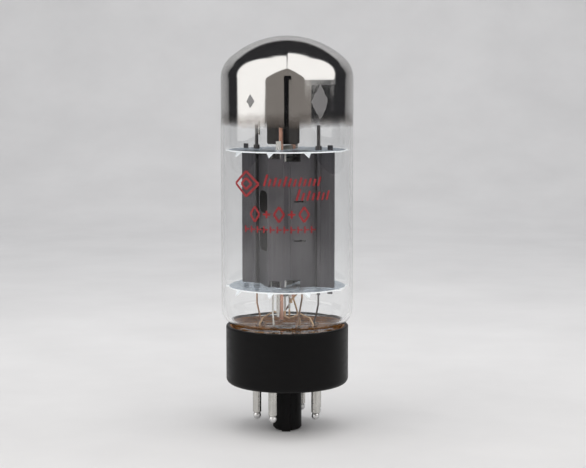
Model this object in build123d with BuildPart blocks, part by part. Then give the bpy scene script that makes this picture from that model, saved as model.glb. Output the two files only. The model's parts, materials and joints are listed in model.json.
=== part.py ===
from build123d import *

import os
from math import acos, atan2, cos, degrees, hypot, radians, sin

# A beam tetrode: tubular glass bulb, octal base with six of its eight pins, and an
# electrode cage between two mica discs.
#
# Millimetres, +Z up. The origin is on the axis, in the plane of the base's underside where
# the pins leave it; a rim stands a little below that plane. -Y points at the locating key.
# The cage has its own directions, turned about Z from the base: its x axis runs along the
# anode's wings, and its y axis runs through the grid rods. "Front" is the -y side of the
# cage, and "left" is its -x side.

# ---------------------------------------------------------------- octal base
BASE_RADIUS = 16.8
BASE_HEIGHT = 15.15
BASE_FLOOR = 2.6
BASE_WALL = 1.8
RIM_WALL = 1.0
RIM_DEPTH = 7.8
FOOT_RADIUS = 1.5
FOOT_DROP = 0.87
FOOT_INNER = 14.0
SPIGOT_RADIUS = 3.95
SPIGOT_LENGTH = 13.95
SPIGOT_BORE = 2.65
SPIGOT_END = 1.2
SPIGOT_CHAMFER = 0.6
KEY_WIDTH = 2.3
KEY_REACH = 5.05
KEY_ROOT = 3.45
RIM_FILLET = 0.35

PIN_PLACES = 8
PIN_NUMBERS = (2, 3, 4, 5, 7, 8)
PIN_CIRCLE = 17.45 / 2
PIN_RADIUS = 2.36 / 2
PIN_BORE = 0.7
PIN_LENGTH = 8.9
PIN_SEAT_RADIUS = 1.5
PIN_HEAD_RADIUS = 1.95
PIN_HEAD_HEIGHT = 0.6
PIN_SHOULDER = 0.3
SOLDER_DEPTH = 1.4
SOLDER_BALL = 1.1
SOLDER_NECK = 0.85

# ---------------------------------------------------------------- glass
BULB_RADIUS = 18.0
BULB_WALL = 0.9
BULB_TOP = 94.0
SHOULDER_RADIUS = 7.5
SHOULDER_HEIGHT = 82.5
HEEL_RADIUS = 5.0
HEEL_HEIGHT = 20.0
NECK_RADIUS = 15.3
NECK_BOTTOM = 11.2
STEM_TOP = 13.4
STEM_CIRCLE = 8.0
STEM_PLACES = (1, 2, 3, 4, 5, 6, 7, 8)
STEM_HOLE = 1.65
BEAD_RADIUS = 1.3
BEAD_HEIGHT = 1.1
BEAD_ROUND = 0.55
TUBE_RADIUS = 2.2
TUBE_BORE = 1.4
TUBE_TAPER_HEIGHT = -4.0
TUBE_TIP = -9.5
TUBE_POINT = 0.5
TUBE_SEAL = 1.6
FLASH_THICKNESS = 0.06
FLASH_BOTTOM = 71.5
CEMENT_BOTTOM = 8.6
CEMENT_TOP = 14.9
CEMENT_BORE = 3.0

# ---------------------------------------------------------------- cage
CAGE_TURN = -22.5
MICA_THICKNESS = 0.35
MICA_RADIUS = 15.9
MICA_LOWER = 25.85
ANODE_BOTTOM = MICA_LOWER + MICA_THICKNESS
ANODE_TOP = 63.0
MICA_UPPER = ANODE_TOP
MICA_UPPER_FACE = MICA_UPPER + MICA_THICKNESS
TOOTH_COUNT = 10
TOOTH_START = -66.0
TOOTH_ROOT = 15.6
TOOTH_TIP = 17.0
BENT_TOOTH_LENGTH = 1.7
TOOTH_WIDTH = 1.9
TOOTH_BEND = 48.0
BENT_TEETH = (0, 8, 9)
FIT = 0.03

SHEET = 0.25
WING_REACH = 14.05
ROOT_REACH = 8.3
POST_REACH = 9.45
POST_RADIUS = 0.475
POST_TOP = 70.0
POST_BOTTOM = 24.0
POST_BEAD = 0.55
POST_CHAMFER = 0.12
FACE_HALF_WIDTH = 2.2
FACE_DEPTH = 6.8
FACE_NOTCH_WIDTH = 3.4
FACE_NOTCH_TOP = 2.0
FACE_NOTCH_BOTTOM = 1.8
WINDOW_START = 0.35
WINDOW_LENGTH = 4.6
WINDOW_TOP = 2.7
WINDOW_BOTTOM = 2.1
LANCE_HEIGHTS = (38.9, 49.5)
LANCE_WIDTH = 3.5
LANCE_OPENING = 0.5
LANCE_CENTRE = 4.7
RIB_PLACE = 2.3
RIB_WIDTH = 0.5
RIB_RISE = 0.2
RIB_MARGIN = 0.5
SLOT_SPANS = ((35.7, 41.9), (46.1, 52.1))
SLOT_INNER = 2.5
SLOT_OUTER = 8.15
SLOT_ROUND = 1.6
TAB_PLACE = 12.9
TAB_WIDTH = 1.4
TAB_HEIGHT = 1.7

COLLAR_RADIUS = 0.85
COLLAR_HEIGHT = 1.1

BEAM_FACE = 6.35
BEAM_SHEET = 0.2
BEAM_HALF_WIDTH = 1.9
BEAM_FLANGE = 0.9
BEAM_GAP = 0.2
BEAM_TAB_PLACE = 0.7
BEAM_TAB_WIDTH = 1.5
BEAM_TAB_TOP = 65.8
BEAM_TAB_BOTTOM = 24.6
STRAP_HEIGHT = 0.9
STRAP_SIDE = 3.2
STRAP_TURN = 1.6
STRAP_CORNER = 5.0
STRAP_END = -1.3

CONTROL_ROD_REACH = 3.6
CONTROL_ROD_RADIUS = 0.6
CONTROL_ROD_TOP = 69.3
CONTROL_ROD_FOOT = 16.8
CONTROL_ROD_REAR_FOOT = 22.4
CONTROL_HALF_WIDTH = 1.75
SCREEN_ROD_REACH = 5.4
SCREEN_ROD_RADIUS = 0.5
SCREEN_ROD_TOP = 64.9
SCREEN_ROD_FOOT = 18.0
SCREEN_ROD_REAR_FOOT = 24.0
SCREEN_HALF_WIDTH = 3.0
GRID_WIRE = 0.075
GRID_TURNS = 29
GRID_PITCH = 1.2
GRID_START = 27.8

FIN_HALF_WIDTH = 4.6
REAR_FIN_HALF_WIDTH = 2.3
FIN_SHEET = 0.3
FIN_BOTTOM = 64.8
FIN_TOP = 73.3
FIN_ROUND = 0.5

CATHODE_LONG = 4.4
CATHODE_SHORT = 1.7
CATHODE_WALL = 0.12
CATHODE_BOTTOM = 23.2
CATHODE_TOP = 64.4
CATHODE_TAB_WIDTH = 1.4
CATHODE_TAB_DROP = 2.2
CATHODE_TAB_SHEET = 0.15
CATHODE_TAB_OVERLAP = 1.2

HEATER_RADIUS = 0.28
HEATER_LEG = 1.35
HEATER_INNER_LEG = 0.45
HEATER_FEET = 19.2
HEATER_TOP = 63.4
HEATER_LOOP = 26.0
HEATER_BEND = 0.42

GETTER_SHIFT = -1.3
GETTER_OUTER = 4.45
GETTER_INNER = 3.0
GETTER_BOTTOM = 75.2
GETTER_HEIGHT = 1.8
GETTER_SHEET = 0.2
GETTER_WIRE = 0.3
GETTER_WIRE_BEND = 0.8
GETTER_WIRE_LAP = 2.8
GETTER_WIRE_RISE = 0.6
GETTER_WIRE_CROWN = -6.8

LEAD_RADIUS = 0.25
LEAD_BEND = 0.6
HEATER_LEAD_BEND = 0.4
LEAD_FOOT = -(PIN_LENGTH - SOLDER_DEPTH)
LEAD_LOWER_BEND = 4.5
LEAD_UPPER_BEND = 7.6
LEAD_CLEAR = 15.0

# Turning points of the wires above the stem, in the cage's own directions.
WELD_TOP = 25.3
BEAM_LEAD_PLACE = -0.8
BEAM_LEAD_TURN = 20.0
HEATER_REAR_SHOULDER = (-5.6, -3.4, 17.2)
HEATER_REAR_PEAK = (-4.6, 1.0, 18.3)
HEATER_REAR_DIP = (-0.5, 1.7, 16.9)
HEATER_FRONT_SHOULDER = (6.8, 0, 17.4)
HEATER_FRONT_PEAK = (3.9, 0, 18.4)
HEATER_FRONT_DIP = (1.0, -0.8, 16.9)
HEATER_LEAD_RISE = 17.6
LEFT_POST_TURN = 20.5
RIGHT_POST_TURN = 21.5
SCREEN_LEAD_TURN = 21.5
CONTROL_LEAD_TURN = 20.5
CONTROL_LEAD_TOP = 24.3
CATHODE_LEAD_FOOT = 21.2
CATHODE_LEAD_TURN = 22.2
CATHODE_LEAD_CLEAR = 23.9
CATHODE_LEAD_PLACE = 0.2
STRAP_STUB_PLACE = 1.8
STRAP_STUB_TURN = 22.4

# The hexagonal anode's slanted walls: from the front face's corner out to the wing's root.
WALL_LENGTH = hypot(ROOT_REACH - FACE_HALF_WIDTH, FACE_DEPTH)
WALL_X = (ROOT_REACH - FACE_HALF_WIDTH) / WALL_LENGTH
WALL_Y = FACE_DEPTH / WALL_LENGTH

# The crown arc runs tangent from the shoulder arc to the top of the bulb.
SHOULDER_REACH = BULB_RADIUS - SHOULDER_RADIUS
CROWN_DROP = BULB_TOP - SHOULDER_HEIGHT
CROWN_RADIUS = (SHOULDER_REACH**2 + CROWN_DROP**2 - SHOULDER_RADIUS**2) / (
    2 * (CROWN_DROP - SHOULDER_RADIUS)
)
CROWN_HEIGHT = BULB_TOP - CROWN_RADIUS
CROWN_JOIN = degrees(atan2(SHOULDER_HEIGHT - CROWN_HEIGHT, SHOULDER_REACH))

# The solder drop is a sphere that necks in where it meets the pin's foot.
SOLDER_RISE = degrees(acos(SOLDER_NECK / SOLDER_BALL))
SOLDER_CENTRE = -PIN_LENGTH - SOLDER_BALL * sin(radians(SOLDER_RISE))

os.makedirs("parts", exist_ok=True)

CAGE = Rot(0, 0, CAGE_TURN)
OPPOSITE = Rot(0, 0, CAGE_TURN + 180)


def place_angle(number):
    """Angle of an octal pin place, seen from above, from +X; the key is at -90."""
    return -90 + 360 / PIN_PLACES * (number - 0.5)


def polar(radius, angle, height):
    return (radius * cos(radians(angle)), radius * sin(radians(angle)), height)


def in_cage(x, y, height):
    """A point given along the cage's own directions."""
    turn = radians(CAGE_TURN)
    return (x * cos(turn) - y * sin(turn), x * sin(turn) + y * cos(turn), height)


def on(frame, plane):
    """The plane, carried along with a turned frame."""
    return Plane(frame * plane.location)


def circle_points(numbers, radius):
    """Centres of octal places on a circle, in the XY plane."""
    return [polar(radius, place_angle(number), 0)[:2] for number in numbers]


def bent_wires(radius, bend, *paths):
    """Round wires that follow polylines with bent corners, as one group."""
    with BuildPart() as group:
        for points in paths:
            with BuildLine() as centre:
                FilletPolyline(*points, radius=bend)
            with BuildSketch(Plane(origin=centre.line @ 0, z_dir=centre.line % 0)):
                Circle(radius)
            sweep(path=centre.line)
    return group


# ================================================================ base
# Moulded cup. Its floor carries the pins, and its spigot carries the locating key.
with BuildPart() as base_shell:
    with BuildSketch(Plane.XZ):
        with BuildLine():
            Polyline(
                (0, -SPIGOT_LENGTH),
                (SPIGOT_RADIUS, -SPIGOT_LENGTH),
                (SPIGOT_RADIUS, 0),
                (FOOT_INNER, 0),
                (FOOT_INNER, -FOOT_DROP),
                (BASE_RADIUS - FOOT_RADIUS, -FOOT_DROP),
            )
            RadiusArc(
                (BASE_RADIUS - FOOT_RADIUS, -FOOT_DROP),
                (BASE_RADIUS, FOOT_RADIUS - FOOT_DROP),
                -FOOT_RADIUS,
            )
            Polyline(
                (BASE_RADIUS, FOOT_RADIUS - FOOT_DROP),
                (BASE_RADIUS, BASE_HEIGHT),
                (BASE_RADIUS - RIM_WALL, BASE_HEIGHT),
                (BASE_RADIUS - RIM_WALL, BASE_HEIGHT - RIM_DEPTH),
                (BASE_RADIUS - BASE_WALL, BASE_HEIGHT - RIM_DEPTH - BASE_WALL + RIM_WALL),
                (BASE_RADIUS - BASE_WALL, BASE_FLOOR),
                (SPIGOT_BORE, BASE_FLOOR),
                (SPIGOT_BORE, SPIGOT_END - SPIGOT_LENGTH),
                (0, SPIGOT_END - SPIGOT_LENGTH),
                (0, -SPIGOT_LENGTH),
            )
        make_face()
    revolve(axis=Axis.Z)
    spigot_end = base_shell.edges().filter_by(GeomType.CIRCLE).sort_by(Axis.Z)[0]
    chamfer(spigot_end, length=SPIGOT_CHAMFER)
    with BuildSketch(Plane.XY.offset(-SPIGOT_LENGTH)):
        with Locations((0, -KEY_ROOT)):
            Rectangle(KEY_WIDTH, KEY_REACH - KEY_ROOT, align=(Align.CENTER, Align.MAX))
    extrude(amount=SPIGOT_LENGTH)
    key_nose = base_shell.faces().filter_by(Axis.Y).sort_by(Axis.Y)[0]
    chamfer(key_nose.edges().sort_by(Axis.Z)[0], length=SPIGOT_CHAMFER)
    rim = base_shell.edges().filter_by(GeomType.CIRCLE).group_by(Axis.Z)[-1]
    fillet(rim.sort_by(SortBy.RADIUS)[-1], radius=RIM_FILLET)
    with Locations(*circle_points(PIN_NUMBERS, PIN_CIRCLE)):
        Hole(PIN_SEAT_RADIUS)
base_shell.part.label = "base_shell"
export_step(base_shell.part, "parts/base_shell.step")

# Ring of cement round the neck, closed under the glass.
with BuildPart() as base_cement:
    with BuildSketch(Plane.XZ):
        with BuildLine():
            Polyline(
                (CEMENT_BORE, CEMENT_BOTTOM),
                (BASE_RADIUS - RIM_WALL, CEMENT_BOTTOM),
                (BASE_RADIUS - RIM_WALL, CEMENT_TOP),
                (NECK_RADIUS, CEMENT_TOP),
                (NECK_RADIUS, NECK_BOTTOM),
                (CEMENT_BORE, NECK_BOTTOM),
                close=True,
            )
        make_face()
    revolve(axis=Axis.Z)
    with Locations(*circle_points(PIN_NUMBERS, STEM_CIRCLE)):
        Hole(LEAD_RADIUS + FIT)
base_cement.part.label = "base_cement"
export_step(base_cement.part, "parts/base_cement.step")

# Hollow pins. A thicker seat fills the floor's hole, and a head is riveted over inside.
for number in PIN_NUMBERS:
    seat_place = polar(PIN_CIRCLE, place_angle(number), 0)
    head_place = polar(PIN_CIRCLE, place_angle(number), BASE_FLOOR)
    with BuildPart() as contact_pin:
        with BuildSketch(Plane(origin=seat_place)):
            Circle(PIN_RADIUS)
        extrude(amount=-PIN_LENGTH)
        with BuildSketch(Plane(origin=seat_place)):
            Circle(PIN_SEAT_RADIUS)
        extrude(amount=BASE_FLOOR)
        with BuildSketch(Plane(origin=head_place)):
            Circle(PIN_HEAD_RADIUS)
        extrude(amount=PIN_HEAD_HEIGHT)
        foot = contact_pin.edges().filter_by(GeomType.CIRCLE).sort_by(Axis.Z)[0]
        chamfer(foot, length=PIN_SHOULDER)
        with Locations(head_place):
            Hole(PIN_BORE)
    contact_pin.part.label = f"contact_pin_{number}"
    export_step(contact_pin.part, f"parts/contact_pin_{number}.step")

# A plug of solder in the foot of each pin, with a round drop hanging from it.
with BuildPart() as pin_solder_tips:
    for number in PIN_NUMBERS:
        pin_axis = polar(PIN_CIRCLE, place_angle(number), 0)
        with BuildSketch(Plane(origin=pin_axis, x_dir=(1, 0, 0), z_dir=(0, -1, 0))):
            with BuildLine():
                drop = CenterArc((0, SOLDER_CENTRE), SOLDER_BALL, -90, 90 + SOLDER_RISE)
                Polyline(
                    drop @ 0,
                    (0, LEAD_FOOT),
                    (PIN_BORE, LEAD_FOOT),
                    (PIN_BORE, -PIN_LENGTH),
                    drop @ 1,
                )
            make_face()
        revolve(axis=Axis(pin_axis, (0, 0, 1)))
pin_solder_tips.part.label = "pin_solder_tips"
export_step(pin_solder_tips.part, "parts/pin_solder_tips.step")


# ================================================================ glass
def dome_line(inset, bottom):
    """Half outline of the bulb's side and dome, moved in by inset, inside a BuildLine."""
    radius = BULB_RADIUS - inset
    Line((radius, bottom), (radius, SHOULDER_HEIGHT))
    CenterArc((SHOULDER_REACH, SHOULDER_HEIGHT), SHOULDER_RADIUS - inset, 0, CROWN_JOIN)
    CenterArc((0, CROWN_HEIGHT), CROWN_RADIUS - inset, CROWN_JOIN, 90 - CROWN_JOIN)


with BuildPart() as glass_bulb:
    with BuildSketch(Plane.XZ):
        with BuildLine():
            heel_centre = (BULB_RADIUS - HEEL_RADIUS, HEEL_HEIGHT)
            heel_turn = degrees(acos((NECK_RADIUS - heel_centre[0]) / HEEL_RADIUS))
            heel = CenterArc(heel_centre, HEEL_RADIUS, -heel_turn, heel_turn)
            Line((NECK_RADIUS, NECK_BOTTOM), heel @ 0)
            dome_line(0, HEEL_HEIGHT)
            offset(amount=BULB_WALL, side=Side.LEFT)
        make_face()
    revolve(axis=Axis.Z)
glass_bulb.part.label = "glass_bulb"
export_step(glass_bulb.part, "parts/glass_bulb.step")

# Silvery film of getter metal on the inside of the dome.
with BuildPart() as getter_flash:
    with BuildSketch(Plane.XZ):
        with BuildLine():
            dome_line(BULB_WALL, FLASH_BOTTOM)
            offset(amount=FLASH_THICKNESS, side=Side.LEFT)
        make_face()
    revolve(axis=Axis.Z)
getter_flash.part.label = "getter_flash"
export_step(getter_flash.part, "parts/getter_flash.step")

# Pressed disc that closes the neck, with a bead of glass round each wire.
with BuildPart() as glass_stem:
    with BuildSketch(Plane.XY.offset(NECK_BOTTOM)):
        Circle(NECK_RADIUS - BULB_WALL)
    extrude(amount=STEM_TOP - NECK_BOTTOM)
    with BuildSketch(Plane.XY.offset(STEM_TOP)):
        with Locations(*circle_points(STEM_PLACES, STEM_CIRCLE)):
            Circle(BEAD_RADIUS)
    extrude(amount=BEAD_HEIGHT)
    bead_tops = glass_stem.edges().filter_by(GeomType.CIRCLE).group_by(Axis.Z)[-1]
    fillet(bead_tops, radius=BEAD_ROUND)
    with Locations(*circle_points(STEM_PLACES, STEM_CIRCLE)):
        Hole(LEAD_RADIUS)
    Hole(STEM_HOLE)
glass_stem.part.label = "glass_stem"
export_step(glass_stem.part, "parts/glass_stem.step")

# Pumping tube, drawn down to a sealed point inside the spigot.
with BuildPart() as exhaust_tube:
    with BuildSketch(Plane.XZ):
        with BuildLine():
            taper = Line((TUBE_POINT, TUBE_TIP), (TUBE_RADIUS, TUBE_TAPER_HEIGHT))
            Polyline(
                taper @ 1,
                (TUBE_RADIUS, NECK_BOTTOM),
                (TUBE_BORE, NECK_BOTTOM),
                (TUBE_BORE, TUBE_TAPER_HEIGHT),
                (0, TUBE_TIP + TUBE_SEAL),
                (0, TUBE_TIP),
                taper @ 0,
            )
        make_face()
    revolve(axis=Axis.Z)
exhaust_tube.part.label = "exhaust_tube"
export_step(exhaust_tube.part, "parts/exhaust_tube.step")


# ================================================================ mica
def mica_disc(bottom):
    """Toothed disc with a hole for every piece of the cage that passes through it."""
    with BuildPart() as disc:
        with BuildSketch(Plane.XY.offset(bottom)):
            Circle(MICA_RADIUS)
            for tooth in range(TOOTH_COUNT):
                if tooth in BENT_TEETH:
                    continue
                turn = TOOTH_START + tooth * 360 / TOOTH_COUNT
                with Locations(Rot(0, 0, turn)):
                    Polygon(
                        (TOOTH_ROOT, -TOOTH_WIDTH / 2),
                        (TOOTH_TIP, 0),
                        (TOOTH_ROOT, TOOTH_WIDTH / 2),
                        align=None,
                    )
        extrude(amount=MICA_THICKNESS)
        for tooth in BENT_TEETH:
            turn = TOOTH_START + tooth * 360 / TOOTH_COUNT
            hinge = Rot(0, 0, turn) * Pos(TOOTH_ROOT, 0, bottom) * Rot(0, TOOTH_BEND, 0)
            with BuildSketch(on(hinge, Plane.XY)):
                Polygon(
                    (0, -TOOTH_WIDTH / 2),
                    (BENT_TOOTH_LENGTH, 0),
                    (0, TOOTH_WIDTH / 2),
                    align=None,
                )
            extrude(amount=MICA_THICKNESS)
        with BuildSketch(on(CAGE, Plane.XY.offset(bottom))):
            with Locations((-POST_REACH, 0), (POST_REACH, 0)):
                Circle(POST_RADIUS + FIT)
            with Locations((0, -CONTROL_ROD_REACH), (0, CONTROL_ROD_REACH)):
                Circle(CONTROL_ROD_RADIUS + FIT)
            with Locations((0, -SCREEN_ROD_REACH), (0, SCREEN_ROD_REACH)):
                Circle(SCREEN_ROD_RADIUS + FIT)
            SlotOverall(CATHODE_LONG + 2 * FIT, CATHODE_SHORT + 2 * FIT, rotation=90)
            for side in (-1, 1):
                with Locations((side * BEAM_TAB_PLACE, -side * (BEAM_FACE + BEAM_SHEET / 2))):
                    Rectangle(BEAM_TAB_WIDTH + 2 * FIT, BEAM_SHEET + 2 * FIT)
                with Locations((side * TAB_PLACE, -side * SHEET / 2)):
                    Rectangle(TAB_WIDTH + 2 * FIT, SHEET + 2 * FIT)
        extrude(amount=MICA_THICKNESS, mode=Mode.SUBTRACT)
    return disc


mica_spacer_bottom = mica_disc(MICA_LOWER)
mica_spacer_bottom.part.label = "mica_spacer_bottom"
export_step(mica_spacer_bottom.part, "parts/mica_spacer_bottom.step")

mica_spacer_top = mica_disc(MICA_UPPER)
mica_spacer_top.part.label = "mica_spacer_top"
export_step(mica_spacer_top.part, "parts/mica_spacer_top.step")


# ================================================================ anode
def anode_half(frame):
    """Folded sheet: two beaded wings, two slanted walls and a narrow front face."""
    with BuildPart() as half:
        with BuildSketch(on(frame, Plane.XY.offset(ANODE_BOTTOM))):
            with BuildLine():
                Line((WING_REACH, 0), (POST_REACH + POST_BEAD, 0))
                CenterArc((POST_REACH, 0), POST_BEAD, 0, -180)
                Polyline(
                    (POST_REACH - POST_BEAD, 0),
                    (ROOT_REACH, 0),
                    (FACE_HALF_WIDTH, -FACE_DEPTH),
                    (0, -FACE_DEPTH),
                )
                mirror(about=Plane.YZ)
                offset(amount=SHEET, side=Side.LEFT)
            make_face()
        extrude(amount=ANODE_TOP - ANODE_BOTTOM)

        # Ears at the end of one wing pass through the mica.
        for base, rise in ((ANODE_TOP, TAB_HEIGHT), (ANODE_BOTTOM, -TAB_HEIGHT)):
            with BuildSketch(on(frame, Plane.XY.offset(base))):
                with Locations((TAB_PLACE, -SHEET / 2)):
                    Rectangle(TAB_WIDTH, SHEET)
            extrude(amount=rise)

        # Right wall, measured from the front corner: a rib, two lances and two windows.
        flat_wall = Plane(
            origin=(FACE_HALF_WIDTH, -FACE_DEPTH, 0),
            x_dir=(WALL_X, WALL_Y, 0),
            z_dir=(WALL_Y, -WALL_X, 0),
        )
        wall = on(frame, flat_wall)
        rib_bottom = ANODE_BOTTOM + WINDOW_BOTTOM + RIB_MARGIN
        rib_top = ANODE_TOP - WINDOW_TOP - RIB_MARGIN
        with BuildSketch(wall.offset(SHEET)):
            with Locations((RIB_PLACE, (rib_bottom + rib_top) / 2)):
                SlotOverall(rib_top - rib_bottom, RIB_WIDTH, rotation=90)
            with Locations(*[(LANCE_CENTRE, height + LANCE_OPENING) for height in LANCE_HEIGHTS]):
                SlotOverall(LANCE_WIDTH, LANCE_OPENING)
        extrude(amount=RIB_RISE)
        with BuildSketch(wall):
            with Locations(*[(LANCE_CENTRE, height) for height in LANCE_HEIGHTS]):
                Rectangle(LANCE_WIDTH, LANCE_OPENING)
            with Locations((WINDOW_START, ANODE_TOP)):
                Rectangle(WINDOW_LENGTH, WINDOW_TOP, align=(Align.MIN, Align.MAX))
            with Locations((WINDOW_START, ANODE_BOTTOM)):
                Rectangle(WINDOW_LENGTH, WINDOW_BOTTOM, align=(Align.MIN, Align.MIN))
        extrude(amount=2 * SHEET, both=True, mode=Mode.SUBTRACT)

        # Left wall: two round-cornered slots. Front face: a notch at each end.
        with BuildSketch(on(frame, Plane.XZ)):
            for low, high in SLOT_SPANS:
                with Locations((-(SLOT_INNER + SLOT_OUTER) / 2, (low + high) / 2)):
                    RectangleRounded(SLOT_OUTER - SLOT_INNER, high - low, SLOT_ROUND)
            with Locations((0, ANODE_TOP)):
                Rectangle(FACE_NOTCH_WIDTH, FACE_NOTCH_TOP, align=(Align.CENTER, Align.MAX))
            with Locations((0, ANODE_BOTTOM)):
                Rectangle(FACE_NOTCH_WIDTH, FACE_NOTCH_BOTTOM, align=(Align.CENTER, Align.MIN))
        extrude(amount=FACE_DEPTH + 2 * SHEET, mode=Mode.SUBTRACT)
    return half


anode_half_front = anode_half(CAGE)
anode_half_front.part.label = "anode_half_front"
export_step(anode_half_front.part, "parts/anode_half_front.step")

anode_half_rear = anode_half(OPPOSITE)
anode_half_rear.part.label = "anode_half_rear"
export_step(anode_half_rear.part, "parts/anode_half_rear.step")


def anode_support_rod(reach):
    with BuildPart() as rod:
        with BuildSketch(on(CAGE, Plane.XY.offset(POST_BOTTOM))):
            with Locations((reach, 0)):
                Circle(POST_RADIUS)
        extrude(amount=POST_TOP - POST_BOTTOM)
        chamfer(rod.edges().sort_by(Axis.Z)[-1], length=POST_CHAMFER)
    return rod


anode_support_rod_left = anode_support_rod(-POST_REACH)
anode_support_rod_left.part.label = "anode_support_rod_left"
export_step(anode_support_rod_left.part, "parts/anode_support_rod_left.step")

anode_support_rod_right = anode_support_rod(POST_REACH)
anode_support_rod_right.part.label = "anode_support_rod_right"
export_step(anode_support_rod_right.part, "parts/anode_support_rod_right.step")

# Short sleeves that lock the posts above the top mica and under the bottom mica.
with BuildPart() as post_collars:
    for bottom in (MICA_UPPER_FACE, MICA_LOWER - COLLAR_HEIGHT):
        with BuildSketch(on(CAGE, Plane.XY.offset(bottom))):
            with Locations((-POST_REACH, 0), (POST_REACH, 0)):
                Circle(COLLAR_RADIUS)
                Circle(POST_RADIUS, mode=Mode.SUBTRACT)
        extrude(amount=COLLAR_HEIGHT)
post_collars.part.label = "post_collars"
export_step(post_collars.part, "parts/post_collars.step")


# ================================================================ beam plates
def beam_plate(frame):
    """Channel just inside the anode's front face, with a tab through each mica."""
    with BuildPart() as plate:
        with BuildSketch(on(frame, Plane.XY.offset(ANODE_BOTTOM + BEAM_GAP))):
            with BuildLine():
                Polyline(
                    (
                        BEAM_HALF_WIDTH + WALL_X * BEAM_FLANGE,
                        WALL_Y * BEAM_FLANGE - BEAM_FACE,
                    ),
                    (BEAM_HALF_WIDTH, -BEAM_FACE),
                    (0, -BEAM_FACE),
                )
                mirror(about=Plane.YZ)
                offset(amount=BEAM_SHEET, side=Side.LEFT)
            make_face()
        extrude(amount=ANODE_TOP - ANODE_BOTTOM - 2 * BEAM_GAP)
        with BuildSketch(on(frame, Plane.XY.offset(BEAM_TAB_BOTTOM))):
            with Locations((BEAM_TAB_PLACE, -BEAM_FACE - BEAM_SHEET / 2)):
                Rectangle(BEAM_TAB_WIDTH, BEAM_SHEET)
        extrude(amount=BEAM_TAB_TOP - BEAM_TAB_BOTTOM)
    return plate


beam_plate_front = beam_plate(CAGE)
beam_plate_front.part.label = "beam_plate_front"
export_step(beam_plate_front.part, "parts/beam_plate_front.step")

beam_plate_rear = beam_plate(OPPOSITE)
beam_plate_rear.part.label = "beam_plate_rear"
export_step(beam_plate_rear.part, "parts/beam_plate_rear.step")

# Ribbon under the bottom mica that joins the two plates' lower tabs.
with BuildPart() as beam_plate_strap:
    strap_line = BEAM_FACE + BEAM_SHEET
    with BuildSketch(on(CAGE, Plane.XY.offset(BEAM_TAB_BOTTOM))):
        with BuildLine():
            Polyline(
                (STRAP_END, -strap_line),
                (STRAP_TURN, -strap_line),
                (STRAP_SIDE, -STRAP_CORNER),
                (STRAP_SIDE, STRAP_CORNER),
                (STRAP_TURN, strap_line),
                (-BEAM_TAB_PLACE - BEAM_TAB_WIDTH / 2, strap_line),
            )
            offset(amount=BEAM_SHEET, side=Side.RIGHT)
        make_face()
    extrude(amount=STRAP_HEIGHT)
beam_plate_strap.part.label = "beam_plate_strap"
export_step(beam_plate_strap.part, "parts/beam_plate_strap.step")


# ================================================================ grids
def grid_rods(reach, radius, top, front_foot, rear_foot):
    with BuildPart() as rods:
        for side, foot in ((-1, front_foot), (1, rear_foot)):
            with BuildSketch(on(CAGE, Plane.XY.offset(foot))):
                with Locations((0, side * reach)):
                    Circle(radius)
            extrude(amount=top - foot)
    return rods


def grid_winding(reach, rod_radius, half_width):
    """Turns of fine wire, each an ellipse that touches the outside of both rods."""
    with BuildPart() as winding:
        for turn in range(GRID_TURNS):
            level = on(CAGE, Plane.XY.offset(GRID_START + turn * GRID_PITCH))
            with BuildLine(level) as loop:
                EllipticalCenterArc(
                    (0, 0),
                    half_width,
                    reach + rod_radius + GRID_WIRE,
                    start_angle=0,
                    arc_size=360,
                )
            with BuildSketch(Plane(origin=loop.line @ 0, z_dir=loop.line % 0)):
                Circle(GRID_WIRE)
            sweep(path=loop.line)
    return winding


control_grid_rods = grid_rods(
    CONTROL_ROD_REACH,
    CONTROL_ROD_RADIUS,
    CONTROL_ROD_TOP,
    CONTROL_ROD_FOOT,
    CONTROL_ROD_REAR_FOOT,
)
control_grid_rods.part.label = "control_grid_rods"
export_step(control_grid_rods.part, "parts/control_grid_rods.step")

control_grid_winding = grid_winding(CONTROL_ROD_REACH, CONTROL_ROD_RADIUS, CONTROL_HALF_WIDTH)
control_grid_winding.part.label = "control_grid_winding"
export_step(control_grid_winding.part, "parts/control_grid_winding.step")

screen_grid_rods = grid_rods(
    SCREEN_ROD_REACH,
    SCREEN_ROD_RADIUS,
    SCREEN_ROD_TOP,
    SCREEN_ROD_FOOT,
    SCREEN_ROD_REAR_FOOT,
)
screen_grid_rods.part.label = "screen_grid_rods"
export_step(screen_grid_rods.part, "parts/screen_grid_rods.step")

screen_grid_winding = grid_winding(SCREEN_ROD_REACH, SCREEN_ROD_RADIUS, SCREEN_HALF_WIDTH)
screen_grid_winding.part.label = "screen_grid_winding"
export_step(screen_grid_winding.part, "parts/screen_grid_winding.step")


def grid_fin(frame, half_width):
    """Blackened cooling fin, spot-welded to the inner side of a control grid rod."""
    with BuildPart() as fin:
        with BuildSketch(on(frame, Plane.XZ.offset(CONTROL_ROD_REACH - CONTROL_ROD_RADIUS))):
            with Locations((0, (FIN_BOTTOM + FIN_TOP) / 2)):
                RectangleRounded(2 * half_width, FIN_TOP - FIN_BOTTOM, FIN_ROUND)
        extrude(amount=-FIN_SHEET)
    return fin


grid_fin_front = grid_fin(CAGE, FIN_HALF_WIDTH)
grid_fin_front.part.label = "grid_fin_front"
export_step(grid_fin_front.part, "parts/grid_fin_front.step")

grid_fin_rear = grid_fin(OPPOSITE, REAR_FIN_HALF_WIDTH)
grid_fin_rear.part.label = "grid_fin_rear"
export_step(grid_fin_rear.part, "parts/grid_fin_rear.step")


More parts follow.
